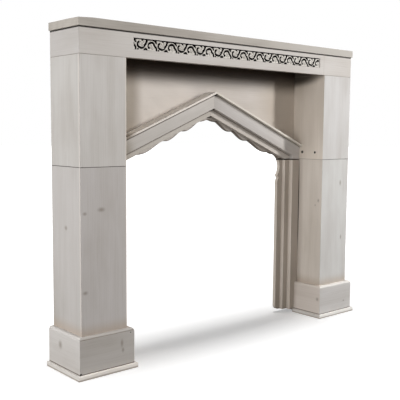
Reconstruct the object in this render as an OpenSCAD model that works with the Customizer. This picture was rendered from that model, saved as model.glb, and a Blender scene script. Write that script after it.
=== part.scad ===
// Fireplace mantel: box legs on stepped plinths, a frieze with a carved scroll, a shelf, and a
// set-back panel with a scalloped pointed arch. Origin at the middle of the underside, +Z up,
// -Y to the room and +Y to the wall. All sizes are in millimetres.

/* [Overall] */
// Width over the outer faces of the two legs
body_w = 1422; // [1180:1:1710]
// Height from the floor to the top of the shelf
total_h = 1200; // [1000:1:1440]
// Depth from the front face of the legs to the wall
body_d = 190; // [158:1:228]

/* [Boards] */
// Thickness of the leg and frieze boards
board_t = 22; // [18:0.5:26]
// Thickness of the back panel and of the jamb boards
panel_t = 16; // [12:0.5:20]

/* [Shelf] */
// Thickness of the shelf
shelf_t = 29; // [20:0.5:40]
// Overhang of the shelf at the front and at both ends
shelf_over = 5; // [1:0.5:25]

/* [Frieze] */
// Height of the frieze
frieze_h = 89; // [74:0.5:110]
// Distance from the shelf down to the carved panel
scroll_drop = 20; // [10:0.5:28]
// Height of the carved panel
scroll_h = 39; // [30:0.5:45]
// Length of one wave of the scroll
wave_l = 90; // [75:1:96]
// Number of waves in the scroll
waves = 11; // [5:1:11]
// Depth of the carved panel's pocket in the frieze
pocket_d = 12; // [9:0.5:14]
// Thickness of the carved strip
scroll_t = 6; // [3:0.5:7]
// Thickness of the black ground behind the carving
ground_t = 2; // [1:0.5:3]
// Thickness of the scroll's stem
stem_w = 5; // [3:0.5:7]

/* [Legs] */
// Width of a leg
leg_w = 184; // [153:1:221]
// Height of the upper length of a leg, from the joint to the frieze
upper_leg_h = 370; // [309:1:444]
// Radius of the fixing holes in the inner boards
hole_r = 3.5; // [2:0.25:6]
// Height of the fixing holes above the joint
hole_up = 31; // [15:1:45]
// Distance of the first fixing hole from the front of the leg
hole_front = 45; // [35:1:60]
// Distance between the two fixing holes
hole_gap = 74; // [30:1:80]

/* [Plinths] */
// Height of a plinth
plinth_h = 143; // [119:1:172]
// Thickness of the plinth boards
plinth_t = 19; // [15:0.5:23]
// Radius of the rounded top edge of a plinth
plinth_r = 7; // [3:0.5:10]
// Depth of the small step under the rounded edge
plinth_step = 1.5; // [0.5:0.25:3]
// Height of the base strips
base_h = 17; // [12:0.5:24]
// Thickness of the base strips
base_t = 10; // [8:0.5:14]

/* [Arch] */
// Slope of the arch in degrees
arch_pitch = 22.5; // [15:0.5:25]
// Visible width of the main moulding on the jambs
main_w = 47; // [39:1:56]
// Visible width of the main moulding on the arch, up to the hood strip
arch_main_w = 54; // [46:1:60]
// Thickness of the main moulding
main_t = 21; // [16:0.5:25]
// Visible width of the step moulding
step_w = 27; // [22:1:32]
// Thickness of the step moulding
step_t = 18; // [14:0.5:22]
// Thickness of the hood strip
hood_t = 8; // [6:0.5:12]
// How far the hood strip stands proud of the main moulding
hood_out = 16; // [8:0.5:20]
// Gap at the joint between the arch mouldings and the jamb mouldings
moulding_gap = 3.5; // [1:0.25:6]
// Gap between the jamb boards and the floor
floor_gap = 15; // [5:0.5:20]

/* [Scallops] */
// Visible width of the jamb board beside the step moulding
jamb_w = 29; // [24:1:35]
// Distance of the first cusp from the middle of the arch
first_cusp = 48; // [40:1:58]
// Distance between cusps, measured level
lobe_l = 93; // [78:1:112]
// Depth of a lobe below the line of its cusps
lobe_drop = 12; // [6:0.5:15]
// Distance of the cusps below the step moulding
cusp_drop = 5; // [3:0.5:8]
// Distance of the middle of the arch below the step moulding
crown_drop = 16; // [10:0.5:22]
// Radius of the rounded foot of a jamb board
foot_r = 22; // [10:1:26]

/* [Hidden] */
SIDES = ["left", "right"];

// Colours of the finishes
wash = "#c9c4bb";
wash_warm = "#bdb3a5";
wash_pale = "#d5d0c8";
ground_black = "#15120f";

// Cutters reach this far past the face they cut
past = 1;

// Heights
shelf_z = total_h - shelf_t;
frieze_z = shelf_z - frieze_h;
joint_z = frieze_z - upper_leg_h;

// Depths: the face of the legs, and the layers in front of the wall
base_out = plinth_t + base_t;
wall_y = (body_d + base_out) / 2;
face_y = wall_y - body_d;
panel_y = wall_y - panel_t;
step_y = panel_y - step_t;
main_y = step_y - main_t;
hood_y = main_y - hood_out;

// Half widths, from the middle outwards
outer_x = body_w / 2;
inner_x = outer_x - leg_w;
main_x = inner_x - main_w;
step_x = main_x - step_w;
jamb_x = step_x - jamb_w;
panel_x = inner_x + board_t;

// Rise of the arch, and the height that a width measured square to it takes up
rise = tan(arch_pitch);
function upright(w) = w / cos(arch_pitch);

// The step moulding's lower line starts at the joint this far outside the jamb's edge
spring_in = 22.6;
step_apex = joint_z + rise * (jamb_x + spring_in);
main_apex = step_apex + upright(step_w);
hood_apex = main_apex + upright(arch_main_w);
top_apex = hood_apex + upright(hood_t);
function step_line(x) = step_apex - rise * x;

// A circular bow from p to q, less q itself, whose middle stands h to the left of the chord
function bow(p, q, h, n = 8) =
    let (chord = norm(q - p), side = sign(h), r = (chord * chord / 4 + h * h) / (2 * abs(h)),
         along = (q - p) / chord, left = [-along.y, along.x],
         centre = (p + q) / 2 + left * (h - side * r), half = asin(chord / 2 / r))
    [for (i = [0 : n - 1])
        let (a = half * (2 * i / n - 1))
        centre + r * (side * left * cos(a) + along * sin(a))];

// One lobe from cusp p to cusp q, less q itself: it swells towards q and starts smoothly at p
lobe_skew = 1.36;
function lobe(p, q, drop, n = 12) =
    [for (i = [0 : n - 1])
        let (t = i / n) p + t * (q - p) - [0, drop * sin(180 * pow(t, lobe_skew))]];

// Cusps of the arch: whole lobes from the middle, and a longer last one into the corner
last_cusp = jamb_x - 62;
whole_lobes = floor((last_cusp - first_cusp) / lobe_l) - 1;
cusps = [
    for (k = [0 : whole_lobes])
        let (x = first_cusp + k * lobe_l) [x, step_line(x) - cusp_drop],
    [last_cusp, step_line(last_cusp) - cusp_drop]
];
crown = [0, step_apex - crown_drop];

// Corner of the opening: a nose, a deep cove, a second nose, a notch and the foot of the notch
upper_nose = [jamb_x - 32, joint_z + 22];
lower_nose = [jamb_x, joint_z - 73];
notch = [jamb_x + 8, joint_z - 87];
notch_foot = [jamb_x - 2, joint_z - 109];
cove_h = 27.5;

half_opening = concat(
    lobe(crown, cusps[0], 2),
    [for (k = [0 : len(cusps) - 2], p = lobe(cusps[k], cusps[k + 1], lobe_drop)) p],
    lobe(cusps[len(cusps) - 1], upper_nose, 3, 6),
    bow(upper_nose, lower_nose, cove_h, 14),
    bow(lower_nose, notch, -1.5, 4),
    bow(notch, notch_foot, -2, 4),
    [notch_foot, [jamb_x, notch_foot.y - 12]],
    bow([jamb_x, floor_gap + foot_r], [jamb_x + foot_r, floor_gap], -foot_r * (1 - cos(45))),
    [[jamb_x + foot_r, floor_gap], [jamb_x + foot_r, -past]]
);

module opening() {
    mirrored = [for (i = [len(half_opening) - 1 : -1 : 1]) [-half_opening[i].x, half_opening[i].y]];
    polygon(concat(half_opening, mirrored));
}

// Stands a drawing of the front (x across, z up) on end, from depth y0 back to depth y1
module upright_board(y0, y1) {
    translate([0, y1, 0]) rotate([90, 0, 0]) linear_extrude(y1 - y0) children();
}

// A block from corner a to corner b
module block(a, b) {
    translate(a) cube(b - a);
}

// Puts a piece drawn for the right-hand side on the named side
module on(side) {
    mirror([side == "left" ? 1 : 0, 0, 0]) children();
}

// --- shelf and frieze ---

module shelf() {
    color(wash_pale)
    block([-outer_x - shelf_over, face_y - shelf_over, shelf_z],
          [outer_x + shelf_over, wall_y, total_h]);
}

scroll_l = waves * wave_l;
scroll_z = shelf_z - scroll_drop - scroll_h;

module frieze_front() {
    color(wash)
    difference() {
        translate([0, 0, frieze_z]) linear_extrude(frieze_h)
            polygon([[-outer_x, face_y], [outer_x, face_y],
                     [outer_x - board_t, face_y + board_t],
                     [-outer_x + board_t, face_y + board_t]]);
        block([-scroll_l / 2, face_y - past, scroll_z],
              [scroll_l / 2, face_y + pocket_d, scroll_z + scroll_h]);
    }
}

module frieze_return(side) {
    color(wash)
    on(side) translate([0, 0, frieze_z]) linear_extrude(frieze_h)
        polygon([[outer_x, face_y], [outer_x, wall_y],
                 [outer_x - board_t, wall_y], [outer_x - board_t, face_y + board_t]]);
}

module scroll_ground() {
    color(ground_black)
    block([-scroll_l / 2, face_y + pocket_d - ground_t, scroll_z],
          [scroll_l / 2, face_y + pocket_d, scroll_z + scroll_h]);
}

// The stem waves between the edges of the strip, with a crest at u = 0
stem_mid = scroll_h / 2 - 2;
stem_swing = scroll_h / 2 - stem_w / 2 - 3;
function stem(u) = [u, stem_mid + stem_swing * cos(360 * u / wave_l)];
function stem_left(u) =
    let (slope = -stem_swing * sin(360 * u / wave_l) * 2 * PI / wave_l)
    [-slope, 1] / norm([-slope, 1]);

// Distance from a crest to the strip's end
lead = 12;

module stem_band(u0, u1, steps) {
    us = [for (i = [0 : steps]) u0 + (u1 - u0) * i / steps];
    polygon(concat(
        [for (u = us) stem(u) + stem_left(u) * stem_w / 2],
        [for (i = [steps : -1 : 0]) stem(us[i]) - stem_left(us[i]) * stem_w / 2]));
}

// A leaf springs from the falling stem, bends over the hollow and curls into it. Each row is a
// corner of its outline, from the middle of the hollow and the foot of the strip, and the height
// of the arc to the next corner, on a wave of 90 by 39.
leaf_rows = [
    [-28, 25, -1], [-24, 33, 1.5], [-12, 37.5, 1], [0, 37, 0.5], [5, 31.5, 0.5], [9, 37.5, 1.5],
    [18.5, 34, 0.8], [17.5, 25, 0.8], [13, 17.5, 1.2], [7.5, 11.5, 2.5], [-6, 12, 1.5],
    [-9, 21, -1.2], [-8, 26, -1.2], [-12.5, 25.5, -1], [-15, 20.5, 0.5]
];
leaf_box = [90, 39];

// A leaf drawn from the level foot, as tall as h, or hanging down from it where h is negative
module leaf(foot, h) {
    last = len(leaf_rows) - 1;
    outline = [
        for (i = [0 : last])
            let (a = leaf_rows[i], b = leaf_rows[i < last ? i + 1 : 0])
            each bow([a.x, a.y], [b.x, b.y], a.z, 4)
    ];
    polygon([for (p = outline) [p.x / leaf_box.x * wave_l, foot + p.y / leaf_box.y * h]]);
}

module scroll_strip() {
    color(wash_pale)
    upright_board(face_y + pocket_d - ground_t - scroll_t, face_y + pocket_d - ground_t)
    translate([-scroll_l / 2, scroll_z])
    intersection() {
        square([scroll_l, scroll_h]);
        union() {
            // the strip starts a little way past a crest
            translate([-lead, 0]) {
                stem_band(0, (waves + 1) * wave_l, 16 * (waves + 1));
                for (k = [0 : waves]) {
                    translate([(k + 0.5) * wave_l, 0]) leaf(0, scroll_h);
                    // a lower leaf at the first crest would be a loose scrap
                    if (k > 0)
                        translate([k * wave_l, 0]) leaf(0.755 * scroll_h, -0.745 * scroll_h);
                }
            }
        }
    }
}

// --- legs: three boards with mitred front corners, in an upper and a lower length ---

module leg_front(z0, z1) {
    translate([0, 0, z0]) linear_extrude(z1 - z0)
        polygon([[inner_x, face_y], [outer_x, face_y],
                 [outer_x - board_t, face_y + board_t], [inner_x + board_t, face_y + board_t]]);
}

module leg_outer(z0, z1) {
    translate([0, 0, z0]) linear_extrude(z1 - z0)
        polygon([[outer_x, face_y], [outer_x, wall_y],
                 [outer_x - board_t, wall_y], [outer_x - board_t, face_y + board_t]]);
}

module leg_inner(z0, z1) {
    translate([0, 0, z0]) linear_extrude(z1 - z0)
        polygon([[inner_x, face_y], [inner_x + board_t, face_y + board_t],
                 [inner_x + board_t, panel_y], [inner_x, panel_y]]);
}

module upper_leg_front(side) {
    color(wash) on(side) leg_front(joint_z, frieze_z);
}

module upper_leg_outer(side) {
    color(wash) on(side) leg_outer(joint_z, frieze_z);
}

// The inner board runs up behind the frieze to the shelf, and has the two fixing holes
module upper_leg_inner(side) {
    color(wash_warm)
    on(side)
    difference() {
        union() {
            leg_inner(joint_z, frieze_z);
            block([inner_x, face_y + board_t, joint_z], [panel_x, panel_y, shelf_z]);
        }
        for (k = [0, 1])
            translate([inner_x - past, face_y + hole_front + k * hole_gap, joint_z + hole_up])
            rotate([0, 90, 0])
            cylinder(r = hole_r, h = board_t + 2 * past, $fn = 32);
    }
}

module lower_leg_front(side) {
    color(wash) on(side) leg_front(0, joint_z);
}

module lower_leg_outer(side) {
    color(wash) on(side) leg_outer(0, joint_z);
}

module lower_leg_inner(side) {
    color(wash_warm) on(side) leg_inner(0, joint_z);
}

// --- plinths and base strips: each runs round three sides of a leg, mitred in front ---

// Section of a plinth board: out from the leg, and up, with a step and a rounded top edge
module plinth_section() {
    nose = plinth_t - plinth_step;
    polygon(concat(
        [[0, 0], [plinth_t, 0], [plinth_t, plinth_h - plinth_r - plinth_step],
         [nose, plinth_h - plinth_r - plinth_step]],
        bow([nose, plinth_h - plinth_r], [nose - plinth_r, plinth_h],
            -plinth_r * (1 - cos(45)), 6),
        [[nose - plinth_r, plinth_h], [0, plinth_h]]));
}

module base_section() {
    polygon([[0, 0], [base_t, 0], [base_t, base_h - 1.5], [base_t - 1.5, base_h], [0, base_h]]);
}

// Front run: the section faces the room, from x0 to x1, and each end is mitred by m
module front_run(x0, x1, y, m, h) {
    intersection() {
        translate([x0 - m, y, 0]) rotate([90, 0, 90]) mirror([1, 0]) linear_extrude(x1 - x0 + 2 * m)
            children();
        linear_extrude(h) polygon([[x0, y], [x1, y], [x1 + m, y - m], [x0 - m, y - m]]);
    }
}

// Side run: the section faces +X from x, between the front corner y0 and the end y1
module side_run(x, y0, y1, m, h) {
    intersection() {
        translate([x, y1, 0]) rotate([90, 0, 0]) linear_extrude(y1 - y0 + m) children();
        linear_extrude(h) polygon([[x, y0], [x + m, y0 - m], [x + m, y1], [x, y1]]);
    }
}

module plinth_front(side) {
    color(wash) on(side)
    front_run(inner_x, outer_x, face_y, plinth_t, plinth_h) plinth_section();
}

module plinth_outer(side) {
    color(wash) on(side)
    side_run(outer_x, face_y, wall_y, plinth_t, plinth_h) plinth_section();
}

module plinth_inner(side) {
    color(wash_warm) on(side)
    mirror([1, 0, 0]) side_run(-inner_x, face_y, main_y, plinth_t, plinth_h) plinth_section();
}

module base_front(side) {
    color(wash) on(side)
    front_run(inner_x - plinth_t, outer_x + plinth_t, face_y - plinth_t, base_t, base_h)
        base_section();
}

module base_outer(side) {
    color(wash) on(side)
    side_run(outer_x + plinth_t, face_y - plinth_t, wall_y, base_t, base_h) base_section();
}

module base_inner(side) {
    color(wash_warm) on(side)
    mirror([1, 0, 0]) side_run(-inner_x + plinth_t, face_y - plinth_t, main_y, base_t, base_h)
        base_section();
}

// --- back panel, arch and jambs ---

module back_panel() {
    color(wash_warm)
    upright_board(panel_y, wall_y)
    difference() {
        translate([-panel_x, joint_z]) square([2 * panel_x, shelf_z - joint_z]);
        opening();
    }
}

module jamb_board(side) {
    color(wash_warm)
    on(side) upright_board(panel_y, wall_y)
    difference() {
        translate([jamb_x - 20, floor_gap]) square([panel_x - jamb_x + 20, joint_z - floor_gap]);
        opening();
    }
}

// The step moulding runs up under the main moulding to the hood strip
module arch_step(side) {
    color(wash_warm)
    on(side) upright_board(step_y, panel_y)
    polygon([[0, step_apex], [0, hood_apex], [inner_x, hood_apex - rise * inner_x],
             [inner_x, joint_z], [jamb_x + spring_in, joint_z]]);
}

module arch_main(side) {
    color(wash)
    on(side) upright_board(main_y, step_y)
    polygon([[0, main_apex], [0, hood_apex], [inner_x, hood_apex - rise * inner_x],
             [inner_x, joint_z], [main_x, joint_z], [main_x, main_apex - rise * main_x]]);
}

module arch_hood(side) {
    color(wash_pale)
    on(side) upright_board(hood_y, panel_y)
    polygon([[0, hood_apex], [0, top_apex], [inner_x, top_apex - rise * inner_x],
             [inner_x, hood_apex - rise * inner_x]]);
}

module jamb_step(side) {
    color(wash_warm)
    on(side) block([step_x, step_y, floor_gap], [inner_x, panel_y, joint_z - moulding_gap]);
}

module jamb_main(side) {
    color(wash_warm)
    on(side) block([main_x, main_y, floor_gap], [inner_x, step_y, joint_z - moulding_gap]);
}

shelf();
frieze_front();
scroll_strip();
scroll_ground();
back_panel();
for (side = SIDES) {
    frieze_return(side);
    upper_leg_front(side);
    upper_leg_outer(side);
    upper_leg_inner(side);
    lower_leg_front(side);
    lower_leg_outer(side);
    lower_leg_inner(side);
    plinth_front(side);
    plinth_outer(side);
    plinth_inner(side);
    base_front(side);
    base_outer(side);
    base_inner(side);
    jamb_board(side);
    arch_step(side);
    arch_main(side);
    arch_hood(side);
    jamb_step(side);
    jamb_main(side);
}
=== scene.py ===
"""Fireplace mantel in limewashed pine: finishes, carved scroll, eased boards, stage and camera."""

import math

import bmesh
import bpy
import numpy as np
from mathutils import Matrix, Vector


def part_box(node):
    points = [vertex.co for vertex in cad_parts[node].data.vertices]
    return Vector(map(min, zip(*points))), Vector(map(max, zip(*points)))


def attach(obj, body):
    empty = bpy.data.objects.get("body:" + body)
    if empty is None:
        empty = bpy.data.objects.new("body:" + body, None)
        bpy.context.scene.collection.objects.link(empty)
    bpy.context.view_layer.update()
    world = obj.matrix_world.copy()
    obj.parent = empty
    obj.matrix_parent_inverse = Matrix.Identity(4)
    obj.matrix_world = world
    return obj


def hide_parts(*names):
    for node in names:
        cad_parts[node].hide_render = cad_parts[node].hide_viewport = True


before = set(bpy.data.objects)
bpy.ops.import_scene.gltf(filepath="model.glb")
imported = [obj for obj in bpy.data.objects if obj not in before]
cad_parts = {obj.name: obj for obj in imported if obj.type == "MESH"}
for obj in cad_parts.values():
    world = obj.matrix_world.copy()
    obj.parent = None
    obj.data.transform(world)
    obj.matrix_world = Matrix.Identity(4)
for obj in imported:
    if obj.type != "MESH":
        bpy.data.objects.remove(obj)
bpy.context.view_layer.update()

MM = 0.001
SIDES = ("left", "right")
BODY = "root"


# ---------------------------------------------------------------- sizes taken from the frame

def low(node):
    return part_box(node)[0]


def high(node):
    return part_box(node)[1]


face_y = low("frieze_front")[1]
inner_x = high("arch_main_right")[0]  # the legs' inner faces are this far from the middle


# ---------------------------------------------------------------- camera

SENSOR_MM = 36
LENS_MM = 62.66
CAMERA_X, CAMERA_OUT, CAMERA_Z = -1.9065, 1.9828, 0.8358  # in metres, out from the legs' faces
CAMERA_TURN = (0.7135, -0.0992, 0.0076)  # yaw, pitch and roll, in radians


def aim(position, yaw, pitch, roll):
    """A camera's matrix: yaw turns it from +Y towards +X, pitch up, and roll about its own view."""
    turn = (
        Matrix.Rotation(-yaw, 4, "Z")
        @ Matrix.Rotation(math.pi / 2 + pitch, 4, "X")
        @ Matrix.Rotation(roll, 4, "Z")
    )
    return Matrix.Translation(position) @ turn


def make_camera():
    data = bpy.data.cameras.new("camera")
    data.sensor_width = SENSOR_MM
    data.lens = LENS_MM
    camera = bpy.data.objects.new("camera", data)
    camera.matrix_world = aim((CAMERA_X, face_y - CAMERA_OUT, CAMERA_Z), *CAMERA_TURN)
    bpy.context.scene.collection.objects.link(camera)
    bpy.context.scene.camera = camera


# ---------------------------------------------------------------- materials

def linear(code, alpha=1.0):
    """An sRGB hex colour as linear RGBA."""
    channels = [int(code[i : i + 2], 16) / 255 for i in (1, 3, 5)]
    return [c / 12.92 if c <= 0.04045 else ((c + 0.055) / 1.055) ** 2.4 for c in channels] + [alpha]


def add(tree, kind, links=(), **settings):
    """Adds a node. Settings are properties, or sockets by name; links feed sockets."""
    node = tree.nodes.new(kind)
    for name, value in settings.items():
        if hasattr(node, name):
            setattr(node, name, value)
        else:
            node.inputs[name.replace("_", " ")].default_value = value
    for socket, source in dict(links).items():  # by name or index
        tree.links.new(source, node.inputs[socket])
    return node


def new_material(name):
    material = bpy.data.materials.new(name)
    material.use_nodes = True
    tree = material.node_tree
    tree.nodes.clear()
    shader = add(tree, "ShaderNodeBsdfPrincipled")
    output = add(tree, "ShaderNodeOutputMaterial")
    tree.links.new(shader.outputs[0], output.inputs["Surface"])
    return material, tree, shader


def maths(tree, operation, a, b=None, clamp=False):
    """A Math node on two values, each a socket or a number."""
    node = add(tree, "ShaderNodeMath", operation=operation, use_clamp=clamp)
    for index, value in enumerate((a, b)):
        if value is None:
            continue
        if isinstance(value, (int, float)):
            node.inputs[index].default_value = value
        else:
            tree.links.new(value, node.inputs[index])
    return node.outputs[0]


def fade(tree, value, start, end):
    """0 where value is at start, 1 where it is at end, smooth between."""
    node = add(tree, "ShaderNodeMapRange", {"Value": value}, interpolation_type="SMOOTHSTEP")
    node.inputs["From Min"].default_value = start
    node.inputs["From Max"].default_value = end
    return node.outputs["Result"]


def blend(tree, factor, a, b):
    """A colour mix. a and b are hex colours or sockets."""
    node = add(tree, "ShaderNodeMix", {0: factor}, data_type="RGBA")
    for name, value in (("A", a), ("B", b)):
        socket = next(s for s in node.inputs if s.name == name and s.type == "RGBA")
        if isinstance(value, str):
            socket.default_value = linear(value)
        else:
            tree.links.new(value, socket)
    return next(s for s in node.outputs if s.type == "RGBA")


def blot(tree, point, centre, radii, core=0.45):
    """1 in the core of an ellipsoid round centre, in millimetres, fading to 0 at its edge."""
    size = [1 / (r * MM) for r in radii]
    shift = [-c * MM * s for c, s in zip(centre, size)]
    placed = add(tree, "ShaderNodeMapping", {"Vector": point}, Location=shift, Scale=size)
    reach = add(tree, "ShaderNodeVectorMath", {0: placed.outputs[0]}, operation="LENGTH")
    return fade(tree, reach.outputs["Value"], 1.0, core)


SOFT_MM = 12.0  # a band wider than this to either side fades out from its middle
SEAM_AND_SHADING_CORE = 0.55  # how much of a narrower one is solid


def seam_and_shading_band(tree, point, across, place, half):
    """1 along a band that lies place millimetres up the direction across, 0 beyond half from it.
    Bands are dark joints and stripes of painted light and shade.
    """
    core = SEAM_AND_SHADING_CORE if half < SOFT_MM else 0.0
    unit = Vector(across).normalized()
    node = add(tree, "ShaderNodeVectorMath", {0: point}, operation="DOT_PRODUCT")
    node.inputs[1].default_value = unit
    away = maths(tree, "SUBTRACT", node.outputs["Value"], place * MM)
    return fade(tree, maths(tree, "ABSOLUTE", away), half * MM, half * core * MM)


# Limewash over planed pine: chalky and matt. The boards read as soft pale bands along the grain,
# with the pores and growth rings only just showing, knots as grey spots, and dirt in the joints.
RING_MM = 9.0  # width between growth rings on a flat-sawn board
PORE_MM = 2.6  # fine grain, drawn coarser than the real 0.5 mm so that it shows
BAND_MM = 34.0  # pale and dark bands across a board
CLOUD_MM = 120.0  # patches where the wash went on thicker
RING_SHARE, PORE_SHARE, BAND_SHARE, CLOUD_SHARE = 0.10, 0.15, 0.15, 0.35  # how far each shows
KNOT = "#857a6f"
KNOT_SHARE = 0.65
KNOT_CORE = 0.05  # how much of a knot is its full colour
BLACK = "#0d0a08"
STAIN_AND_SHADE_SHARE = 0.97
WASHED_ROUGHNESS = (0.55, 0.8)  # on the wood, and in its pores
PINE_IOR = 1.45
LATE_WOOD = 3.0  # the higher, the thinner a ring's dark line
GRAIN_MM = 0.5  # depth of the grain, and how much of it the pores and the rings take
PORE_DEPTH, RING_DEPTH = 0.6, 0.25

WAVE_TURN = 20  # radians that a Wave texture turns in one unit at scale 1

# Which way the grain runs: degrees above level, seen from the front, or back to the wall.
UP, LEVEL, DEEP = 90, 0, "deep"


def limed_pine(
    name, grain, wash, shade, seed,
    knots=(), stains_and_shade=(), seams_and_shading=(), tints_light_and_shade=(), black_and_shade_from=None, gloss=0.3,
):
    """Limewashed pine, wash where the lime is thick and shade where it is thin.

    The marks' places and sizes are in millimetres; besides knots, stains and joints they paint light
    and shade. black_and_shade_from is the y, in metres, where the black starts and the one where it
    is full:
    the ground's black stain up the carving's sides, and painted shade deeper in the carving.
    """
    material, tree, shader = new_material(name)
    point = add(tree, "ShaderNodeTexCoord").outputs["Object"]
    turn = (math.radians(90), 0, 0) if grain == DEEP else (0, math.radians(grain - 90), 0)
    board = add(tree, "ShaderNodeMapping", {"Vector": point}, Rotation=turn).outputs[0]

    def along(stretch, offset):
        """Places on the board, drawn out along the grain. Each seed has its own part of a pattern."""
        shift = (seed * 0.37 + offset, seed * 0.53, seed * 0.71)
        node = add(tree, "ShaderNodeMapping", {"Vector": board}, Location=shift)
        node.inputs["Scale"].default_value = (1, 1, 1 / stretch)
        return node.outputs[0]

    def noise(size_mm, stretch, offset, detail):
        node = add(tree, "ShaderNodeTexNoise", {"Vector": along(stretch, offset)}, Detail=detail)
        node.inputs["Scale"].default_value = 1 / (size_mm * MM)
        return node.outputs["Fac"]

    cloud = noise(CLOUD_MM, stretch=2.5, offset=0.1, detail=3.0)
    band = noise(BAND_MM, stretch=16, offset=0.5, detail=2.0)
    pores = noise(PORE_MM, stretch=45, offset=0.2, detail=4.0)
    drawn_out = along(stretch=14, offset=0.3)
    rings = add(tree, "ShaderNodeTexWave", {"Vector": drawn_out}, wave_profile="SAW")
    rings.inputs["Scale"].default_value = math.tau / WAVE_TURN / (RING_MM * MM)
    rings.inputs["Distortion"].default_value = 7.0
    rings.inputs["Detail"].default_value = 2.5
    rings.inputs["Detail Scale"].default_value = 0.25
    ring_line = maths(tree, "POWER", rings.outputs["Fac"], LATE_WOOD)

    parts = (
        (ring_line, RING_SHARE),
        (fade(tree, pores, 0.45, 0.72), PORE_SHARE),
        (fade(tree, band, 0.35, 0.7), BAND_SHARE),
        (fade(tree, cloud, 0.35, 0.75), CLOUD_SHARE),
    )
    drawn = 0.0
    for part, share in parts:
        drawn = maths(tree, "ADD", maths(tree, "MULTIPLY", part, share), drawn, clamp=True)
    colour = blend(tree, drawn, wash, shade)
    # Tints: some are a board's own tone, most are painted light and shade.
    for centre, radii, tint, share in tints_light_and_shade:
        there = maths(tree, "MULTIPLY", blot(tree, point, centre, radii), share)
        colour = blend(tree, there, colour, tint)
    knot = 0.0
    for centre, radii in knots:
        knot = maths(tree, "MAXIMUM", blot(tree, point, centre, radii, KNOT_CORE), knot)
    if knots:
        colour = blend(tree, maths(tree, "MULTIPLY", knot, KNOT_SHARE), colour, KNOT)
    # Bands: dark joints, and stripes of painted light and shade.
    for across, place, half, joint_and_shading_colour, share in seams_and_shading:
        line = maths(tree, "MULTIPLY", seam_and_shading_band(tree, point, across, place, half), share)
        colour = blend(tree, line, colour, joint_and_shading_colour)
    # Black marks: joints, cracks and spots, and painted shade in mitres and holes.
    for centre, radii in stains_and_shade:
        dark = maths(tree, "MULTIPLY", blot(tree, point, centre, radii), STAIN_AND_SHADE_SHARE)
        colour = blend(tree, dark, colour, BLACK)
    if black_and_shade_from:  # the ground's black stain runs up the sides of the carving, and deeper in the carving it paints shade
        depth = add(tree, "ShaderNodeSeparateXYZ", {0: point}).outputs["Y"]
        start, end = black_and_shade_from
        colour = blend(tree, fade(tree, depth, start, end), colour, BLACK)
    tree.links.new(colour, shader.inputs["Base Color"])

    rough = add(tree, "ShaderNodeMapRange", {"Value": pores})
    rough.inputs["To Min"].default_value, rough.inputs["To Max"].default_value = WASHED_ROUGHNESS
    tree.links.new(rough.outputs["Result"], shader.inputs["Roughness"])
    shader.inputs["IOR"].default_value = PINE_IOR
    shader.inputs["Specular IOR Level"].default_value = gloss
    height = maths(tree, "MULTIPLY", pores, -PORE_DEPTH)
    height = maths(tree, "SUBTRACT", height, maths(tree, "MULTIPLY", ring_line, RING_DEPTH))
    bump = add(tree, "ShaderNodeBump", {"Height": height}, Strength=0.25, Distance=GRAIN_MM * MM)
    tree.links.new(bump.outputs[0], shader.inputs["Normal"])
    return material


DUST_PER_M = 350.0  # specks of dust to the metre, about 3 mm each
DUST_SHARE = 0.3


def black_stained_pine():
    """Black-stained pine behind the carving: dead matt, a little dusty on its grain."""
    material, tree, shader = new_material("black_stained_pine")
    point = add(tree, "ShaderNodeTexCoord").outputs["Object"]
    stretch = add(tree, "ShaderNodeMapping", {"Vector": point}, Scale=(0.05, 1, 1))
    dust = add(
        tree, "ShaderNodeTexNoise", {"Vector": stretch.outputs[0]}, Scale=DUST_PER_M, Detail=3.0
    )
    factor = maths(tree, "MULTIPLY", fade(tree, dust.outputs["Fac"], 0.5, 0.8), DUST_SHARE)
    tree.links.new(blend(tree, factor, "#090706", "#211c18"), shader.inputs["Base Color"])
    shader.inputs["Roughness"].default_value = 0.85
    shader.inputs["Specular IOR Level"].default_value = 0.15
    bump = add(tree, "ShaderNodeBump", {"Height": dust.outputs["Fac"]}, Strength=0.3)
    bump.inputs["Distance"].default_value = 0.3 * MM
    tree.links.new(bump.outputs[0], shader.inputs["Normal"])
    return material


# ---------------------------------------------------------------- boards

EASE_MM = 1.1  # radius that sanding left on the boards' arrises
LOBE_EASE_MM = 4.2  # the same on the cusped edge of the arch
BASE_ROUND_MM = 7.0  # radius on the top edge of the base strips
WORN_MM = 60.0  # how far the wear on the shelf's corner reaches, and how deep it goes
WORN_DROP_MM = 3.5
WORN_FADE = 0.6  # how much of the wear is left further along the end
CREASE_DEG = 24  # edges sharper than this are eased, and shade as edges
WELD_MM = 0.01
FLAT_DEG = 0.2
SAME_PLACE = 1e-5  # in metres

# How much of a face's normal points a way, for it to count as leaning, looking or square that way.
LEANS, LOOKS, SQUARE = 0.2, 0.5, 0.9
POCKET_MM = 5.0  # the carving's pocket ends within this of its top


def welded(node):
    """A bmesh copy of a CAD node with its loose triangles merged into flat faces."""
    mesh = bmesh.new()
    mesh.from_mesh(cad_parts[node].data)
    bmesh.ops.remove_doubles(mesh, verts=mesh.verts, dist=WELD_MM * MM)
    bmesh.ops.dissolve_limit(
        mesh, angle_limit=math.radians(FLAT_DEG), verts=mesh.verts, edges=mesh.edges
    )
    return mesh


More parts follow.
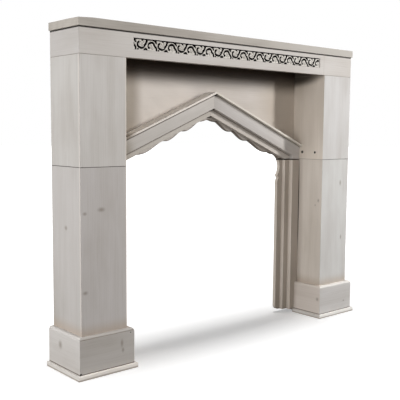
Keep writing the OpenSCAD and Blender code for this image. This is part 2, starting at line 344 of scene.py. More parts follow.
def finished(mesh, name, material, nodes, crease=CREASE_DEG, others=()):
    """Turns a bmesh into a piece that stands for its CAD nodes.

    others are more materials, each with a test for the faces that it goes on.
    """
    mesh.normal_update()
    for index, (_, test) in enumerate(others, 1):
        for face in filter(test, mesh.faces):
            face.material_index = index
    data = bpy.data.meshes.new(name)
    mesh.to_mesh(data)
    mesh.free()
    data.materials.append(material)
    for other, _ in others:
        data.materials.append(other)
    data.polygons.foreach_set("use_smooth", [True] * len(data.polygons))
    data.set_sharp_from_angle(angle=math.radians(crease))
    piece = bpy.data.objects.new(name, data)
    bpy.context.scene.collection.objects.link(piece)
    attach(piece, BODY)
    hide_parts(*nodes)
    return piece


def ease(mesh, width=EASE_MM):
    """Rounds the sharp edges of a board."""
    crease = math.radians(CREASE_DEG)
    sharp = [e for e in mesh.edges if len(e.link_faces) == 2 and e.calc_face_angle() > crease]
    bmesh.ops.bevel(
        mesh, geom=sharp, offset=width * MM, offset_type="OFFSET", segments=2, profile=0.6,
        affect="EDGES", clamp_overlap=True,
    )


def board(node, material, shape=None, width=EASE_MM, others=()):
    """A board with eased arrises. shape, if given, works on it before they are eased."""
    mesh = welded(node)
    if shape:
        shape(mesh)
    ease(mesh, width)
    return finished(mesh, node + "_board", material, [node], others=others)


def rounded_base(side):
    """Rounds the top edge of a base strip where it shows."""
    boxes = [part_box(f"base_{part}_{side}") for part in ("front", "outer", "inner")]
    left = min(box[0][0] for box in boxes)
    right = max(box[1][0] for box in boxes)
    front = min(box[0][1] for box in boxes)
    top = boxes[0][1][2]

    def shape(mesh):
        def at(edge, axis, value):
            return all(abs(v.co[axis] - value) < SAME_PLACE for v in edge.verts)

        edges = [
            e for e in mesh.edges
            if at(e, 2, top) and (at(e, 0, left) or at(e, 0, right) or at(e, 1, front))
        ]
        bmesh.ops.bevel(
            mesh, geom=edges, offset=BASE_ROUND_MM * MM, segments=5, profile=0.5, affect="EDGES",
            clamp_overlap=True,
        )

    return shape


def worn_corner(mesh):
    """The shelf's front left corner, worn down by handling."""
    left, front = low("shelf")[:2]
    top = high("shelf")[2]
    reach = WORN_MM * MM
    for place, normal in (((left + reach, 0, 0), (1, 0, 0)), ((0, front + reach, 0), (0, 1, 0))):
        bmesh.ops.bisect_plane(
            mesh, geom=mesh.verts[:] + mesh.edges[:] + mesh.faces[:], plane_co=place, plane_no=normal
        )
    for vert in mesh.verts:
        if vert.co.z > top - SAME_PLACE and vert.co.x < left + SAME_PLACE:
            vert.co.z -= WORN_DROP_MM * MM * (1 if vert.co.y < front + SAME_PLACE else WORN_FADE)


def looks_down(face):
    return face.normal.z < -LEANS


def looks_back(face):
    """Towards the wall."""
    return face.normal.y > LOOKS


def out_of_sight(face):
    """Towards the wall, or at the ends of the panel inside the legs."""
    in_leg = abs(face.calc_center_median().x) > inner_x
    return looks_back(face) or (in_leg and abs(face.normal.x) > SQUARE)


def looks_inwards(face):
    """Towards the middle of the opening."""
    across = face.calc_center_median().x
    return face.normal.x * across < -LEANS * abs(across)


def over_scroll(face):
    """The top of the pocket that the carving sits in, which takes the ground's black; there it also
    paints the shade under the pocket's top edge.
    """
    at_top = face.calc_center_median().z > high("scroll_strip")[2] - POCKET_MM * MM
    return at_top and face.normal.z < -LOOKS


# ---------------------------------------------------------------- carved scroll

PITCH_MM = 90.0  # one wave of the scroll
CREST_MM = -507.0  # the first wave's crest, off the strip's left end
CARVED_MM = 6.0  # thickness of the carving
SPREAD_MM = 1.1  # how far the black paint ate into the hollows' edges
SHOULDER_MM = 2.6  # how far the carving's rounded edges reach in, and how far they drop
SHOULDER_DROP_MM = 2.0
VEIN_MM = 1.5  # how deep a vein is cut, how far it spreads, and how softly it ends
VEIN_SPREAD_MM = 0.4
VEIN_SOFTNESS = 0.8
WAVES = 12
CARVED_CREASE_DEG = 50
BLACK_AND_SHADE_FROM_MM = (0.7, 1.9)  # how far below the carving's front the black starts, and is full: the ground's stain up the sides, and painted shade in veins and hollows

CELL_MM = 0.9  # the carving's mesh
SPARE_CELLS = 4  # cells worked out past each end of a wave, so that it meets the next
PROBE_MM = 0.05  # a small step, for finding which way a hollow's edge lies
FLATTEST = 0.25  # the least slope that a step to that edge is worked out from
STEP_CELLS = 0.6  # the longest such step, in cells
CORNER_PASSES, RIM_PASSES = 4, 2
BACK_ANGLE = 0.01  # in radians: flatter than this, the back's cells become one
JOIN_MM = 0.02  # points of two waves closer than this become one

# What the gouge took out between stem and leaves: rows of x from the crest, height, half width.
HOLLOWS = (
    (  # round the lower leaf
        (-9.5, 9.0, 2.6), (-13.2, 12, 1.5), (-13.2, 18, 1.3), (-9.5, 23.5, 1.9), (-3, 27, 2.3),
        (4.5, 27.8, 2.4), (10.5, 25, 2.3), (13.3, 20, 2.2), (15.5, 16, 1.9), (20, 12.5, 2.1),
        (23, 8, 2.4), (22.8, 2.5, 2.1),
    ),
    (  # round the upper leaf, and up to the border
        (36, 26.2, 2.3), (32.5, 24, 1.9), (31, 19, 1.9), (32, 13.5, 2.1), (36.5, 9.5, 2.4),
        (42, 7.6, 2.5), (48, 6.8, 2.3), (54, 7.8, 1.5), (58.6, 11, 1.1), (61.5, 17, 2.6),
        (65.5, 21, 2.2), (68.5, 27, 2.4), (70.5, 32, 3.0), (70.5, 37, 3.6),
    ),
    # between the upper leaf's lobes
    ((48, 37.5, 1.6), (50.5, 35.5, 1.9), (52.5, 33.8, 2.1)),
    # over the crest, and down behind the stem
    (
        (-22, 38, 2.0), (-16, 37, 2.4), (-9, 37.6, 1.8), (0, 38.6, 1.4), (8, 38, 1.9),
        (14, 36, 3.0), (18.5, 33, 2.4), (21.5, 29, 1.8), (23, 26.5, 1.3),
    ),
    # along the border over the upper leaf
    (
        (14, 37.5, 2.6), (22, 37.5, 2.4), (30, 38.2, 1.5), (40, 38.8, 1.2), (48, 38.4, 1.5),
        (60, 38.8, 1.2), (68, 38, 2.0),
    ),
    # one dark line the whole way under the top border
    ((-46, 38.3, 1.7), (46, 38.3, 1.7)),
    # under the stem, on either side of the bowl
    ((-31, 2.6, 0.9), (-27, 3.4, 1.9), (-23, 4.6, 2.4), (-18.5, 2.8, 1.0)),
    ((30.5, 2.6, 0.8), (33.5, 2.2, 1.2)),
)

# Veins cut in the leaves: rows of x from the crest, height and half width.
VEINS = (
    ((-1.5, 21.5, 0.9), (0.5, 14, 0.7), (1.5, 6, 0.5)),
    ((9.5, 20, 0.9), (6.5, 13, 0.7), (3, 6, 0.5)),
    ((-8.5, 13.5, 0.8), (-3, 10, 0.6), (1, 5, 0.5)),
    ((17, 9.5, 0.8), (10, 7.5, 0.6), (4, 4.5, 0.5)),
    ((38, 31.5, 0.8), (44, 27, 0.7), (49, 19, 0.5)),
    ((58, 32, 0.8), (54.5, 25, 0.7), (50, 18, 0.5)),
    ((36.5, 19, 0.8), (42, 17.5, 0.6), (48, 14.5, 0.5)),
    ((58.5, 19.5, 0.8), (54, 17, 0.6), (49.5, 13.5, 0.5)),
)


def rounded(rows, steps=4):
    """Extra points that carry a row of points round smoothly."""
    rows = np.array(rows, float)
    ends = np.vstack([2 * rows[0] - rows[1], rows, 2 * rows[-1] - rows[-2]])
    points = []
    for a, b, c, d in zip(ends, ends[1:], ends[2:], ends[3:]):
        for t in np.arange(steps) / steps:
            curve = (2 * a - 5 * b + 4 * c - d) * t**2 + (3 * b - a - 3 * c + d) * t**3
            points.append(b + 0.5 * ((c - a) * t + curve))
    return np.array(points + [rows[-1]])


def clearance(lines, x, z):
    """Distance from the edge of the nearest line, repeated each wave; below zero inside it."""
    nearest = np.full(x.shape, 1e3)
    for line in map(rounded, lines):
        for (x0, z0, r0), (x1, z1, r1) in zip(line, line[1:]):
            run, rise = x1 - x0, z1 - z0
            for shift in (-PITCH_MM, 0, PITCH_MM):
                t = ((x - x0 - shift) * run + (z - z0) * rise) / (run**2 + rise**2)
                t = np.clip(t, 0, 1)
                reach = np.hypot(x - shift - x0 - t * run, z - z0 - t * rise)
                nearest = np.minimum(nearest, reach - r0 - t * (r1 - r0))
    return nearest


def hollow_edge(x, z):
    """Distance outside the edge of the nearest hollow."""
    return clearance(HOLLOWS, x, z) - SPREAD_MM


def one_wave(name, height):
    """One wave of the carving as a shell, open where it meets the next, with its back flat."""
    columns = round(PITCH_MM / CELL_MM)
    rows = round(height / CELL_MM)
    spare = SPARE_CELLS
    xs = (np.arange(columns + 2 * spare + 1) - spare) * PITCH_MM / columns - PITCH_MM / 2
    zs = np.arange(rows + 1) * height / rows
    x, z = np.meshgrid(xs, zs, indexing="ij")
    middle_x = (x[1:, 1:] + x[:-1, :-1]) / 2
    middle_z = (z[1:, 1:] + z[:-1, :-1]) / 2
    wood = hollow_edge(middle_x, middle_z) > 0
    for _ in range(CORNER_PASSES):  # no two cells may meet at a corner alone
        a, b, c, d = wood[:-1, :-1], wood[1:, :-1], wood[:-1, 1:], wood[1:, 1:]
        corner = ((a & d) & ~b & ~c) | ((b & c) & ~a & ~d)
        for part in (a, b, c, d):
            part |= corner

    padded = np.pad(wood, 1)
    count = padded[:-1, :-1].astype(int) + padded[1:, :-1] + padded[:-1, 1:] + padded[1:, 1:]
    rim = (count > 0) & (count < 4)
    rim[:, 0] = False
    for _ in range(RIM_PASSES):  # the rim moves on to the hollow's true edge
        away = hollow_edge(x, z)
        slope_x = (hollow_edge(x + PROBE_MM, z) - away) / PROBE_MM
        slope_z = (hollow_edge(x, z + PROBE_MM) - away) / PROBE_MM
        step = np.where(rim, away, 0) / np.maximum(slope_x**2 + slope_z**2, FLATTEST)
        step = np.clip(step, -CELL_MM * STEP_CELLS, CELL_MM * STEP_CELLS)
        x = x - step * slope_x
        z = np.clip(z - step * slope_z, 0, height)

    inward = np.clip(hollow_edge(x, z) / SHOULDER_MM, 0, 1)
    from_vein = np.clip(clearance(VEINS, x, z) + VEIN_SPREAD_MM, 0, None)
    vein = np.exp(-(from_vein**2) / VEIN_SOFTNESS)
    shoulder = 1 - np.sqrt(1 - (1 - inward) ** 2)
    proud = CARVED_MM - SHOULDER_DROP_MM * shoulder - VEIN_MM * vein * inward

    mesh = bmesh.new()
    front, back = {}, {}

    def corner_at(i, j, layer, depth):
        if (i, j) not in layer:
            layer[i, j] = mesh.verts.new((x[i, j] * MM, -depth * MM, z[i, j] * MM))
        return layer[i, j]

    for i in range(spare, spare + columns):
        for j in range(rows):
            if not wood[i, j]:
                continue
            ring = [(i, j), (i + 1, j), (i + 1, j + 1), (i, j + 1)]
            top = [corner_at(*c, front, proud[c]) for c in ring]
            base = [corner_at(*c, back, 0) for c in ring]
            mesh.faces.new(top)
            mesh.faces.new(base[::-1])
            beside = [(i, j - 1), (i + 1, j), (i, j + 1), (i - 1, j)]
            for side, (p, q) in enumerate(beside):
                if 0 <= q < rows and wood[p, q]:
                    continue
                near, far = side, (side + 1) % 4
                mesh.faces.new((base[near], base[far], top[far], top[near]))
    flat = list(back.values())
    edges = {e for v in flat for e in v.link_edges if all(end.co.y == 0 for end in e.verts)}
    bmesh.ops.dissolve_limit(mesh, angle_limit=BACK_ANGLE, verts=flat, edges=list(edges))
    data = bpy.data.meshes.new(name)
    mesh.to_mesh(data)
    mesh.free()
    return data


def repeat_tree():
    """Geometry Nodes: the object's own mesh repeated in a row, joined and given its material."""
    tree = bpy.data.node_groups.new("scroll_row", "GeometryNodeTree")
    sockets = tree.interface
    sockets.new_socket("Wave", in_out="INPUT", socket_type="NodeSocketGeometry")
    sockets.new_socket("Waves", in_out="INPUT", socket_type="NodeSocketInt")
    sockets.new_socket("Pitch", in_out="INPUT", socket_type="NodeSocketFloat")
    sockets.new_socket("Start", in_out="INPUT", socket_type="NodeSocketVector")
    sockets.new_socket("Finish", in_out="INPUT", socket_type="NodeSocketMaterial")
    sockets.new_socket("Row", in_out="OUTPUT", socket_type="NodeSocketGeometry")
    given = add(tree, "NodeGroupInput").outputs
    stride = add(tree, "ShaderNodeCombineXYZ", {"X": given["Pitch"]})
    line = add(
        tree, "GeometryNodeMeshLine",
        {"Count": given["Waves"], "Start Location": given["Start"], "Offset": stride.outputs[0]},
        mode="OFFSET",
    )
    row = add(
        tree, "GeometryNodeInstanceOnPoints", {"Points": line.outputs[0], "Instance": given["Wave"]}
    )
    real = add(tree, "GeometryNodeRealizeInstances", {0: row.outputs[0]})
    joined = add(tree, "GeometryNodeMergeByDistance", {0: real.outputs[0]}, Distance=JOIN_MM * MM)
    done = add(
        tree, "GeometryNodeSetMaterial", {"Geometry": joined.outputs[0], "Material": given["Finish"]}
    )
    add(tree, "NodeGroupOutput", {"Row": done.outputs[0]})
    return tree


def carve_scroll(material):
    """The whole carving: one wave repeated, and cut off square at the strip's ends."""
    start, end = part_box("scroll_strip")
    height = (end[2] - start[2]) / MM
    carver = bpy.data.objects.new("carver", one_wave("wave", height))
    bpy.context.scene.collection.objects.link(carver)
    tree = repeat_tree()
    sizes = {
        "Waves": WAVES,
        "Pitch": PITCH_MM * MM,
        "Start": (CREST_MM * MM, end[1], start[2]),
        "Finish": material,
    }
    row = carver.modifiers.new("row", "NODES")
    row.node_group = tree
    for socket in tree.interface.items_tree:
        if socket.name in sizes:
            row[socket.identifier] = sizes[socket.name]
    shown = carver.evaluated_get(bpy.context.evaluated_depsgraph_get())
    result = bpy.data.meshes.new_from_object(shown)
    bpy.data.objects.remove(carver)

    mesh = bmesh.new()
    mesh.from_mesh(result)
    for cut, out in ((start[0], -1), (end[0], 1)):
        bmesh.ops.bisect_plane(
            mesh, geom=mesh.verts[:] + mesh.edges[:] + mesh.faces[:], dist=1e-7,
            plane_co=(cut, 0, 0), plane_no=(out, 0, 0), clear_outer=True,
        )
        rim = [e for e in mesh.edges if e.is_boundary]
        bmesh.ops.holes_fill(mesh, edges=rim, sides=0)
    bmesh.ops.recalc_face_normals(mesh, faces=mesh.faces)
    return finished(
        mesh, "carved_scroll", material, ["scroll_strip"], CARVED_CREASE_DEG
    )


# ---------------------------------------------------------------- stage

WHITE = (1, 1, 1, 1)
FLOOR_M = 60
FLOOR_WHITE = "#e6e6e6"
FLOOR_BOUNCE = "#8b8885"
NEAR_GLOW = 0.38  # stands in for the softboxes' light, which the floor doesn't take
GLOW = 0.5  # how much more the far floor glows, so that it stays white to the horizon
GLOW_FROM = (0.9, 2.5)  # in metres from the middle, where that starts and where it is full
GLOW_BEHIND = (0.15, 1.2)  # the same, straight back from the mantel
SUN_WIDTH_DEG = 16
OVERHEAD, FLOOR_WASH = 1.2, 1.55  # strength of the sun on everything, and of the floor's own

# Softboxes: name, place, what it points at, size across and down in metres, and power in watts.
SOFTBOXES = (
    ("key", (2.33, -2.41, 1.65), (0, 0, 1.0), (0.3, 0.6), 78),
    ("left", (-5.5, -1.2, 1.2), (0, 0, 0.8), (2.5, 1.2), 98),
    ("left_high", (-4.5, -0.3, 2.0), (0, -0.1, 0.9), (2.5, 1.2), 44),
    ("left_back", (-3.8, 1.8, 1.2), (0, 0, 0.8), (2.0, 1.6), 46),
    ("front", (-0.6, -2.6, 2.0), (0, 0, 0.9), (1.5, 0.7), 22),
    ("back", (0.3, 3.2, 1.5), (0, 0, 0.7), (2.5, 1.5), 40),
)
HOOD_SOFTBOX = ("arch_wash", (-0.9, -1.4, 1.9), (-0.25, 0, 0.9), (0.8, 0.5), 8)


def make_floor():
    """White to the camera, a mid grey in what it bounces back, and glowing more far off."""
    material, tree, shader = new_material("white_studio_floor")
    ray = add(tree, "ShaderNodeLightPath").outputs["Is Camera Ray"]
    tree.links.new(blend(tree, ray, FLOOR_BOUNCE, FLOOR_WHITE), shader.inputs["Base Color"])
    shader.inputs["Roughness"].default_value = 0.9
    shader.inputs["Emission Color"].default_value = WHITE
    point = add(tree, "ShaderNodeTexCoord").outputs["Object"]
    away = add(tree, "ShaderNodeVectorMath", {0: point}, operation="LENGTH").outputs["Value"]
    behind = add(tree, "ShaderNodeSeparateXYZ", {0: point}).outputs["Y"]
    glow = maths(tree, "MAXIMUM", fade(tree, away, *GLOW_FROM), fade(tree, behind, *GLOW_BEHIND))
    glow = maths(tree, "ADD", maths(tree, "MULTIPLY", glow, GLOW), NEAR_GLOW)
    tree.links.new(maths(tree, "MULTIPLY", ray, glow), shader.inputs["Emission Strength"])
    bpy.ops.mesh.primitive_plane_add(size=FLOOR_M)
    floor = bpy.context.object
    floor.name = "floor"
    floor.data.materials.append(material)
    return floor


def shine_only(light, *things):
    """Keeps a light's shine to these things."""
    group = bpy.data.collections.new(light.name + "_lights")
    for thing in things:
        group.objects.link(thing)
    light.light_linking.receiver_collection = group


def add_softbox(name, position, target, size, power):
    data = bpy.data.lights.new(name, "AREA")
    data.shape = "RECTANGLE"
    data.size, data.size_y = size
    data.energy = power
    light = bpy.data.objects.new(name, data)
    light.location = position
    light.rotation_euler = (Vector(target) - Vector(position)).to_track_quat("-Z", "Y").to_euler()
    bpy.context.scene.collection.objects.link(light)
    return light


def make_world():
    """White to the camera, and giving no light of its own."""
    world = bpy.data.worlds.new("studio")
    bpy.context.scene.world = world
    world.use_nodes = True
    tree = world.node_tree
    tree.nodes.clear()
    unlit = add(tree, "ShaderNodeBackground", Strength=0.0, Color=WHITE)
    white = add(tree, "ShaderNodeBackground", Strength=1.0, Color=WHITE)
    ray = add(tree, "ShaderNodeLightPath")
    mix = add(tree, "ShaderNodeMixShader", {0: ray.outputs["Is Camera Ray"]})
    tree.links.new(unlit.outputs[0], mix.inputs[1])
    tree.links.new(white.outputs[0], mix.inputs[2])
    output = add(tree, "ShaderNodeOutputWorld")
    tree.links.new(mix.outputs[0], output.inputs["Surface"])


def overhead(name, strength, only=None):
    """A soft sun straight above. With only, it lights that object and nothing else."""
    data = bpy.data.lights.new(name, "SUN")
    data.energy = strength
    data.angle = math.radians(SUN_WIDTH_DEG)
    light = bpy.data.objects.new(name, data)
    bpy.context.scene.collection.objects.link(light)
    if only:
        shine_only(light, only)


def make_stage():
    """Floor, world and lights. Gives back the softboxes, for the mantel alone."""
    floor = make_floor()
    make_world()
    softboxes = [add_softbox(*row) for row in SOFTBOXES]
    overhead("overhead", OVERHEAD)
    overhead("floor_wash", FLOOR_WASH, floor)
    bpy.context.scene.view_settings.view_transform = "Standard"
    return softboxes


# ---------------------------------------------------------------- the mantel

RAFTER = "rafter"  # grain along a rafter of the arch
SLOPE_DEG = 22.5
SLOPE = math.tan(math.radians(SLOPE_DEG))
RAFTER_GRAIN = {"left": SLOPE_DEG, "right": -SLOPE_DEG}


def at_slope(side):
    """The direction across a rafter, upwards in its own plane."""
    return (-SLOPE if side == "left" else SLOPE, 0, 1)


def line_at(apex):
    """How far the joint between two mouldings lies up the direction across a rafter."""
    return apex / math.hypot(1, SLOPE)


# Heights, in millimetres: the arch's joints at their apex, and where one board meets the next.
HOOD_APEX = 984.6
MAIN_APEX = 926.2
SHELF_Z = low("shelf")[2] / MM
FRIEZE_Z = low("frieze_front")[2] / MM
JOINT_Z = low("back_panel")[2] / MM
PLINTH_Z = high("plinth_front_left")[2] / MM
BASE_Z = high("base_front_left")[2] / MM

# Bands of colour on the boards: the way across, the place that way, half the width, the colour
# and how strongly it shows. They are dark joints, and painted light and shade: highlights on
# arrises and the plinth's top, warm bounce light round the plinth's top, and shade under the
# shelf, at the plinth's step, at the base's foot, in the jambs' gap and, as PANEL_TOP, under the
# frieze. The painted ones stay whatever the light.
ABOVE, ACROSS, INTO = (0, 0, 1), (1, 0, 0), (0, 1, 0)
# Painted highlights: pale bands where the legs' arrises catch the light.
INNER_ARRIS_HIGHLIGHT = (ACROSS, -inner_x / MM, 4.5, "#eee3d8", 0.6)
OUTER_ARRIS_HIGHLIGHT = (INTO, face_y / MM, 10, "#ddd6cf", 0.5)
# A dark joint under the shelf, widened with painted shade under the shelf's overhang.
UNDER_SHELF_JOINT_AND_SHADE = (ABOVE, SHELF_Z, 6.5, "#1c1612", 0.96)
FRIEZE_JOINT = (ABOVE, FRIEZE_Z, 1.4, "#7d746a", 0.6)
LEG_JOINT = (ABOVE, JOINT_Z, 1.5, "#2f2822", 0.8)
TIGHT_JOINT = (ABOVE, JOINT_Z, 1.3, "#6e6256", 0.6)
# A warm brown band round the plinth's top: painted warm bounce light.
PLINTH_TOP = (ABOVE, PLINTH_Z, 48, "#b09f8e", 0.6)
# Painted shade: a dark line at the step in the left plinth's moulding.
PLINTH_STEP_SHADE = (ABOVE, PLINTH_Z - 7.0, 2.2, "#857b71", 0.65)
BASE_JOINT = (ABOVE, BASE_Z, 3.5, "#54483f", 0.85)
# A painted highlight along the right plinth's rounded top.
PLINTH_HIGHLIGHT = (ABOVE, PLINTH_Z, 9, "#f4efe9", 0.8)
# Painted shade: darker along the foot of the base strips.
BASE_FOOT_SHADE = (ABOVE, 0, 7.5, "#a2968a", 0.7)
PANEL_TOP = (ABOVE, FRIEZE_Z + 12, 105, "#30241a", 1.0)
# Painted shade: black at the gap in the jambs' moulding.
MOULDING_GAP_SHADE = (ABOVE, JOINT_Z - 2.5, 3.4, "#0f0c09", 0.95)

# Painted shade: black in the corners of the mitres at the apex, and in and round the fixing holes:
# centre and radii.
MITRE_SHADE = (
    ((1, 50, 981), (18, 11.5, 7.5)),
    ((0, 68, 923), (18, 13, 7.5)),
    ((0, 88, 892), (18, 12, 7.5)),
)
HOLE_UP = 31
HOLE_SHADE = tuple(
    ((x, y, JOINT_Z + HOLE_UP), (25, radius, radius))
    for x in (-527, 527)
    for y, radius in ((-35.5, 7), (38.5, 8.5))
)

# Each board: grain, colour where the wash is thick and where it is thin, and its own marks. The
# two colours also paint light and shade: boards in shade, such as the left leg's front, the left
# plinth and the jambs, are darker, and lit ones, such as the right plinth and the bases' fronts,
# lighter. Knots and black marks are centre and radii, and tints have a colour and its strength
# as well. The shelf's tint is its own tone; the other tints are painted light and shade, the
# darkest being shade in the corners, painted like the panel's.
BOARDS = {
    "shelf": (LEVEL, "#bdb7af", "#8e867d", {
        "gloss": 0.08,
        "tints_light_and_shade": [((760, 0, 1185), (700, 600, 200), "#bfbab3", 0.9)],
    }),
    "frieze_front": (LEVEL, "#d0cbc6", "#b0a79e", {
        "seams_and_shading": [UNDER_SHELF_JOINT_AND_SHADE, FRIEZE_JOINT, (ACROSS, 521, 1.2, "#a0968c", 0.5)],
    }),
    "frieze_return": (DEEP, "#c6c2bf", "#a6a098", {"seams_and_shading": [UNDER_SHELF_JOINT_AND_SHADE, FRIEZE_JOINT]}),
    "upper_leg_front_left": (UP, "#d3cfcb", "#b2aba3", {
        "seams_and_shading": [LEG_JOINT, INNER_ARRIS_HIGHLIGHT, FRIEZE_JOINT],
    }),
    "lower_leg_front_left": (UP, "#c5c0bd", "#a69e95", {
        "seams_and_shading": [LEG_JOINT, INNER_ARRIS_HIGHLIGHT, PLINTH_TOP],
        "knots": [
            ((-630, -80.5, 568), (22, 20, 12)),
            ((-695, -80.5, 558), (12, 20, 9)),
            ((-695, -80.5, 290), (15, 20, 10)),
        ],
        "stains_and_shade": [((-711, -80.5, 712), (16, 20, 2.2))],
    }),
    "upper_leg_front_right": (UP, "#d5d3d1", "#b3aca6", {"seams_and_shading": [LEG_JOINT, FRIEZE_JOINT]}),
    "lower_leg_front_right": (UP, "#d5d4d1", "#b4ada8", {
        "seams_and_shading": [LEG_JOINT, PLINTH_TOP],
        "knots": [
            ((657, -80.5, 604), (9, 20, 19)),
            ((670, -80.5, 353), (7, 20, 17)),
        ],
    }),
    "upper_leg_outer": (UP, "#c8c5c1", "#a8a19a", {"seams_and_shading": [LEG_JOINT, OUTER_ARRIS_HIGHLIGHT, FRIEZE_JOINT]}),
    "lower_leg_outer": (UP, "#c5c1be", "#a59f97", {
        "seams_and_shading": [LEG_JOINT, OUTER_ARRIS_HIGHLIGHT, PLINTH_TOP],
        "knots": [((-711, 15.5, 502), (20, 14, 12)), ((711, -30, 420), (20, 14, 12))],
    }),
    "upper_leg_inner": (UP, "#e3d9ce", "#c1b5a5", {
        "seams_and_shading": [TIGHT_JOINT, FRIEZE_JOINT],
        "stains_and_shade": HOLE_SHADE + (((527, 45.5, 774), (20, 2.5, 2.5)),),
        # Painted shade in the top corner under the frieze, by the panel.
        "tints_light_and_shade": [((526, 105, 1092), (20, 210, 66), "#2b2219", 0.9)],
    }),
    "lower_leg_inner": (UP, "#d8cfc5", "#b6ab9e", {
        "seams_and_shading": [TIGHT_JOINT, PLINTH_TOP],
        "knots": [((527, -62, 528), (20, 8, 12)), ((527, -44.5, 506), (20, 5, 7))],
        "stains_and_shade": [((527, 54, 500), (20, 3.2, 260))],
    }),
    "back_panel": (LEVEL, "#d6cfc9", "#b5aba0", {
        "seams_and_shading": [PANEL_TOP],
        "stains_and_shade": MITRE_SHADE,
        # Painted light left of the middle; painted shade on the right, in the right leg's shadow, and
        # next to the left leg.
        "tints_light_and_shade": [
            ((-250, 93.5, 960), (220, 300, 160), "#e4dbd2", 0.7),
            ((560, 93.5, 960), (330, 300, 260), "#bcb0a2", 0.9),
            ((-430, 93.5, 950), (110, 300, 420), "#978b7c", 0.75),
        ],
    }),
    "arch_hood_left": (RAFTER, "#dfd8d0", "#c4bbb0", {
        # Painted shade on the hood's left end, by the leg.
        "tints_light_and_shade": [((-480, 60, 800), (110, 90, 60), "#75695a", 0.9)],
        "stains_and_shade": MITRE_SHADE,
    }),
    "arch_hood_right": (RAFTER, "#d8d2c8", "#b9b1a6", {"stains_and_shade": MITRE_SHADE}),
    "arch_main_left": (RAFTER, "#d1ccc7", "#b1a99f", {
        # Painted shadow of the hood below its edge, and painted shade by the left leg.
        "seams_and_shading": [(at_slope("left"), line_at(HOOD_APEX), 10.0, "#4c4138", 0.9)],
        "tints_light_and_shade": [((-500, 60, 740), (130, 90, 120), "#8d8374", 0.8)],
        "stains_and_shade": MITRE_SHADE,
    }),
    "arch_main_right": (RAFTER, "#ccc7c3", "#ada59c", {
        "seams_and_shading": [(at_slope("right"), line_at(HOOD_APEX), 3.0, "#7a6f63", 0.7)],
        "stains_and_shade": MITRE_SHADE,
    }),
    "arch_step_left": (RAFTER, "#cdc7bf", "#aea498", {
        # Painted shadow of the main moulding below its edge, and painted shade by the left leg.
        "seams_and_shading": [(at_slope("left"), line_at(MAIN_APEX), 11.5, "#554a40", 0.85)],
        "tints_light_and_shade": [((-500, 80, 700), (130, 90, 120), "#8d8374", 0.8)],
        "stains_and_shade": MITRE_SHADE,
    }),
    "arch_step_right": (RAFTER, "#cfc8c1", "#b0a69b", {
        "seams_and_shading": [(at_slope("right"), line_at(MAIN_APEX), 3.0, "#7a6f63", 0.7)],
        "stains_and_shade": MITRE_SHADE,
    }),
    "jamb_board": (UP, "#b9aea2", "#9c8f81", {"seams_and_shading": [MOULDING_GAP_SHADE]}),
    "jamb_step": (UP, "#beb3a7", "#a09486", {
        "seams_and_shading": [MOULDING_GAP_SHADE],
        "knots": [((455, 75.5, 568), (6, 20, 5))],
    }),
    "jamb_main": (UP, "#bcb1a6", "#9e9384", {
        "seams_and_shading": [MOULDING_GAP_SHADE],
        "knots": [((455, 54.5, 238), (6, 20, 5))],
        "stains_and_shade": [((528, 54.5, 500), (4, 20, 260))],
    }),
    "plinth_front_left": (LEVEL, "#c0bbb6", "#a29a91", {
        "seams_and_shading": [BASE_JOINT, PLINTH_STEP_SHADE],
        "knots": [((-561, -99.5, 97), (9, 20, 22)), ((-557, -99.5, 72), (8, 20, 13))],
        "stains_and_shade": [
            ((-729, -100, 20), (9, 12, 6)),
            ((-524, -100, 129), (3, 8, 3)),
            ((-510, -100, 17), (7, 8, 4)),
        ],
    }),
    "plinth_front_right": (LEVEL, "#d6d3d1", "#b3ada6", {
        "seams_and_shading": [BASE_JOINT, PLINTH_HIGHLIGHT],
        "knots": [((680, -99.5, 56), (9, 20, 6))],
    }),
    "plinth_outer": (DEEP, "#cecac6", "#ada69f", {
        "seams_and_shading": [BASE_JOINT],
        "knots": [((-730, 30, 94), (20, 18, 22)), ((730, -20, 60), (20, 14, 14))],
    }),
    "plinth_inner": (DEEP, "#d8cec5", "#b5a99c", {
        "seams_and_shading": [BASE_JOINT],
        "knots": [((508, -85, 84), (20, 11, 13))],
    }),
    "base_front_left": (LEVEL, "#fdf7f0", "#dfd5cc", {"seams_and_shading": [BASE_FOOT_SHADE]}),
    "base_front_right": (LEVEL, "#fdfbf6", "#e6dfd9", {"seams_and_shading": [BASE_FOOT_SHADE]}),
    "base_outer": (DEEP, "#dfdbd6", "#bcb3a9", {"seams_and_shading": [BASE_FOOT_SHADE]}),
    "base_inner": (DEEP, "#e1ddd8", "#beb5ac", {"seams_and_shading": [BASE_FOOT_SHADE]}),
}

make_camera()
softboxes = make_stage()

finish = {}
for seed, (name, (grain, wash, shade, marks)) in enumerate(BOARDS.items()):
    if grain == RAFTER:
        grain = RAFTER_GRAIN[name.rsplit("_", 1)[1]]
    finish[name] = limed_pine("limed_pine_" + name, grain, wash, shade, seed, **marks)
# On the jambs' steps, which look towards the opening: painted light, lighter than the jambs' fronts,
# which are painted darker as in shade.
returned = limed_pine(
    "limed_pine_jamb_returns", UP, "#ded4c9", "#bfb2a4", seed=81, seams_and_shading=[MOULDING_GAP_SHADE]
)
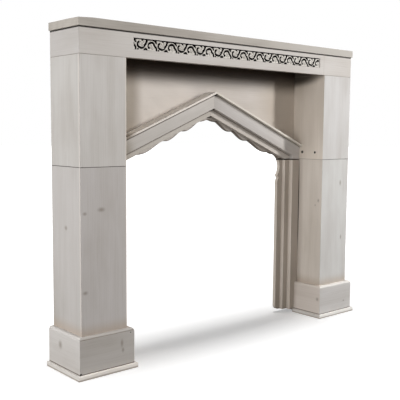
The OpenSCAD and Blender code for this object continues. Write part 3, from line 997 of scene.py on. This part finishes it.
# Bare sawn edges under the cusps, browner and darker than the washed faces; the darker colour also
# paints the shade on these undersides.
sawn_and_shaded = limed_pine("sawn_pine_cusps_shaded", DEEP, "#8b8178", "#6f655c", seed=80, stains_and_shade=MITRE_SHADE)
wall_side = limed_pine("limed_pine_wall_side", LEVEL, "#cbc2b7", "#a79b8d", seed=82)
# Limewash on the leaves' faces only, and the ground's black up their sides, which also paints shade
# in the veins and the deeper parts of the carving.
carved_y = low("scroll_strip")[1]
black_and_shade_from = tuple(carved_y + depth * MM for depth in BLACK_AND_SHADE_FROM_MM)
carved = limed_pine("limed_pine_carving", LEVEL, "#dedad3", "#b4aca2", seed=90, black_and_shade_from=black_and_shade_from)
ground_stain_and_shade = black_stained_pine()

hoods = []
board("shelf", finish["shelf"], worn_corner)
board("frieze_front", finish["frieze_front"], others=[(ground_stain_and_shade, over_scroll)])
board(
    "back_panel", finish["back_panel"], width=LOBE_EASE_MM,
    others=[(wall_side, out_of_sight), (sawn_and_shaded, looks_down)],
)
for side in SIDES:
    board(f"frieze_return_{side}", finish["frieze_return"])
    for length in ("upper", "lower"):
        board(f"{length}_leg_front_{side}", finish[f"{length}_leg_front_{side}"])
        board(f"{length}_leg_outer_{side}", finish[f"{length}_leg_outer"])
        board(f"{length}_leg_inner_{side}", finish[f"{length}_leg_inner"])
    board(f"plinth_front_{side}", finish[f"plinth_front_{side}"])
    board(f"base_front_{side}", finish[f"base_front_{side}"], rounded_base(side))
    for part in ("outer", "inner"):
        board(f"plinth_{part}_{side}", finish[f"plinth_{part}"])
        board(f"base_{part}_{side}", finish[f"base_{part}"], rounded_base(side))
    for kind in ("step", "main", "hood"):
        piece = board(f"arch_{kind}_{side}", finish[f"arch_{kind}_{side}"])
        if kind == "hood":
            hoods.append(piece)
    for kind in ("board", "step", "main"):
        board(
            f"jamb_{kind}_{side}", finish[f"jamb_{kind}"],
            others=[(returned, looks_inwards), (wall_side, looks_back)],
        )

shine_only(add_softbox(*HOOD_SOFTBOX), *hoods)
carve_scroll(carved)
mantel = [thing for thing in bpy.data.objects if thing.type == "MESH" and thing.name != "floor"]
for softbox in softboxes:
    shine_only(softbox, *mantel)
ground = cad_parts["scroll_ground"].data
ground.materials.clear()
ground.materials.append(ground_stain_and_shade)
